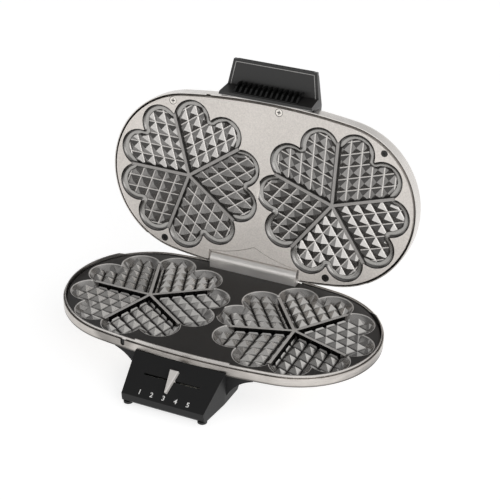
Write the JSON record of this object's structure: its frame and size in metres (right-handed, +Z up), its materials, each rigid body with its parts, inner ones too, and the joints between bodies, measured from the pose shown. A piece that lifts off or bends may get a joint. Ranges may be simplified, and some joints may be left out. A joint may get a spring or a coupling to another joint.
{
  "type": "double waffle maker",
  "caption": "Free-standing electric waffle maker with twin heart-rosette plates, a hinged lid that stands open, and a sliding temperature control on a sloping front console.",
  "frame": {"origin": "centre of the footprint of the whole open appliance, on the table plane under the feet", "axes": "+X to the user's right along the longest side, +Y away from the user to the hinge, +Z up"},
  "size_m": [0.358, 0.2767, 0.2802],
  "materials": {
    "band_steel": "brushed, warm, bright",
    "rim_steel": "satin",
    "lower_plate_coat": "dark non-stick coat on cast aluminium",
    "upper_plate_coat": "light grey fine-grained coat on cast aluminium",
    "housing_plastic": "fine-grained black",
    "grip_plastic": "black",
    "knob_finish": "silver",
    "foot_rubber": "matt black",
    "screw_steel": "zinc plated",
    "hinge_steel": "plain",
    "heater_steel": "dull, heat-darkened",
    "reflector_sheet": "bright sheet",
    "ceramic_white": "matt",
    "nylon": "natural",
    "lead_cover": "heat-proof sleeve"
  },
  "bodies": {
    "base": {"base_shell": "band_steel", "base_rim_ring": "rim_steel", "lower_waffle_plate": "lower_plate_coat", "lower_plate_screws": "screw_steel", "lower_heater": "heater_steel", "lower_heater_clips": "hinge_steel", "lower_reflector": "reflector_sheet", "thermal_fuse": "ceramic_white", "console_housing": "housing_plastic", "console_cover": "housing_plastic", "cover_screws": "screw_steel", "front_feet": "foot_rubber", "rear_support": "housing_plastic", "rear_feet": "foot_rubber", "cord_gland": "housing_plastic", "terminal_block": "nylon", "inner_lead": "lead_cover", "hinge_barrel": "rim_steel", "hinge_pin": "hinge_steel", "hinge_brackets": "hinge_steel", "hinge_screws": "screw_steel", "thermostat": "ceramic_white", "thermostat_bracket": "hinge_steel"},
    "lid": {"lid_shell": "band_steel", "upper_waffle_plate": "upper_plate_coat", "upper_plate_screws": "screw_steel", "lid_posts": "hinge_steel", "upper_heater": "heater_steel", "upper_heater_clips": "hinge_steel", "upper_reflector": "reflector_sheet", "reflector_screws": "screw_steel", "hinge_web": "upper_plate_coat", "hinge_cheeks": "rim_steel", "cheek_screws": "screw_steel", "lid_handle": "housing_plastic", "handle_grip_insert": "grip_plastic", "handle_screws": "screw_steel"},
    "slider": {"temperature_slider": "knob_finish", "slider_carriage": "nylon"},
    "follower": {"thermostat_follower": "nylon"}
  },
  "joints": [
    {"name": "lid_hinge", "type": "hinge", "parent": "base", "child": "lid", "pos_m": [0, 0.09615, 0.0529], "axis": [1, 0, 0], "range_deg": [0, 96.5]},
    {"name": "temperature_slide", "type": "slide", "parent": "base", "child": "slider", "axis": [1, 0, 0], "range_m": [-0.027, 0.027]},
    {"name": "follower_lift", "type": "slide", "parent": "base", "child": "follower", "axis": [0, -0.5393, 0.8421], "range_m": [-0.0014, 0.0014]}
  ],
  "couplings": [
    {"joint": "follower_lift", "follows": "temperature_slide", "ratio": -0.05}
  ]
}
